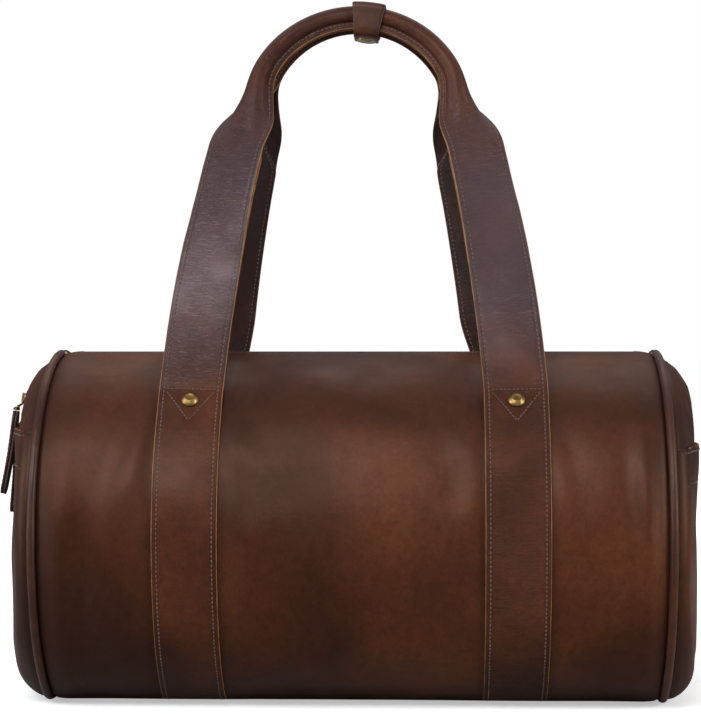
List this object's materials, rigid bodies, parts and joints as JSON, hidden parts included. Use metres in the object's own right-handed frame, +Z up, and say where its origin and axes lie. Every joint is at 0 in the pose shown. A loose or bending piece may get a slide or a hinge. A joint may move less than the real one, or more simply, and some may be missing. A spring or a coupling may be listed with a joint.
{
  "type": "duffel bag",
  "caption": "Leather barrel duffel bag with rolled handles on girth straps, snap keeper, top zip with leather pulls and slip pockets on its ends.",
  "frame": {"origin": "centre of the pressed base, on the floor", "axes": "+X along the barrel towards the viewer's right, -Y towards the viewer, +Z up"},
  "size_m": [0.5067, 0.2562, 0.4995],
  "materials": {
    "body_leather": "satin",
    "strap_leather": "satin",
    "raw_leather": "matte",
    "lining_cloth": "matte",
    "board": "matte",
    "cord": "matte",
    "zip_cloth": "matte",
    "zip_metal": "satin",
    "antique_brass": "satin",
    "pale_brass": "polished"
  },
  "bodies": {
    "bag": {"body_wrap": "body_leather", "body_lining": "lining_cloth", "base_board": "board", "left_end_panel": "body_leather", "right_end_panel": "body_leather", "left_end_lining": "lining_cloth", "right_end_lining": "lining_cloth", "left_piping": "body_leather", "right_piping": "body_leather", "left_piping_cord": "cord", "right_piping_cord": "cord", "left_pocket": "body_leather", "right_pocket": "body_leather", "left_pocket_facing": "raw_leather", "right_pocket_facing": "raw_leather", "zip_tape_front": "zip_cloth", "zip_tape_rear": "zip_cloth", "zip_teeth_front": "zip_metal", "zip_teeth_rear": "zip_metal", "zip_end_stops": "zip_metal", "girth_strap_left": "strap_leather", "girth_strap_right": "strap_leather", "strap_rivet_caps": "antique_brass", "strap_rivet_posts": "antique_brass", "strap_rivet_backs": "antique_brass"},
    "front_handle": {"front_handle_leather": "strap_leather", "front_handle_backing": "raw_leather", "front_handle_core": "cord"},
    "rear_handle": {"rear_handle_leather": "strap_leather", "rear_handle_backing": "raw_leather", "rear_handle_core": "cord", "keeper_wrap": "strap_leather", "snap_stud": "pale_brass"},
    "keeper_flap": {"keeper_flap": "strap_leather", "snap_cap": "pale_brass", "snap_socket": "pale_brass"},
    "upper_slider": {"upper_slider": "antique_brass"},
    "upper_puller": {"upper_puller": "antique_brass"},
    "upper_pull": {"upper_pull": "strap_leather"},
    "lower_slider": {"lower_slider": "antique_brass"},
    "lower_puller": {"lower_puller": "antique_brass"},
    "lower_pull": {"lower_pull": "strap_leather"}
  },
  "joints": [
    {"name": "front_handle_swing", "type": "hinge", "parent": "bag", "child": "front_handle", "pos_m": [0, -0.08155, 0.21992], "axis": [1, 0, 0], "range_deg": [0, 100]},
    {"name": "rear_handle_swing", "type": "hinge", "parent": "bag", "child": "rear_handle", "pos_m": [0, 0.08155, 0.21992], "axis": [1, 0, 0], "range_deg": [-100, 0]},
    {"name": "keeper_flap_open", "type": "hinge", "parent": "rear_handle", "child": "keeper_flap", "pos_m": [0.00905, -0.0079, 0.49903], "axis": [0.9945, 0, -0.1045], "range_deg": [-140, 0], "deforming": ["keeper_flap"]},
    {"name": "upper_slider_travel", "type": "hinge", "parent": "bag", "child": "upper_slider", "pos_m": [-0.2005, 0, 0.207], "axis": [0, 1, 0], "range_deg": [0, 72]},
    {"name": "upper_puller_swing", "type": "hinge", "parent": "upper_slider", "child": "upper_puller", "pos_m": [-0.24298, 0, 0.21297], "axis": [0, 1, 0], "range_deg": [0, 95]},
    {"name": "upper_pull_swing", "type": "hinge", "parent": "upper_puller", "child": "upper_pull", "pos_m": [-0.248, -0.0076, 0.2049], "axis": [0, 1, 0], "range_deg": [0, 50]},
    {"name": "lower_slider_travel", "type": "slide", "parent": "bag", "child": "lower_slider", "axis": [0, 0, 1], "range_m": [-0.0006, 0.0022]},
    {"name": "lower_puller_swing", "type": "hinge", "parent": "lower_slider", "child": "lower_puller", "pos_m": [-0.2434, 0, 0.1986], "axis": [0, 1, 0], "range_deg": [0, 75]},
    {"name": "lower_pull_swing", "type": "hinge", "parent": "lower_puller", "child": "lower_pull", "pos_m": [-0.2495, 0.0027, 0.1912], "axis": [0, 1, 0], "range_deg": [0, 50]}
  ]
}
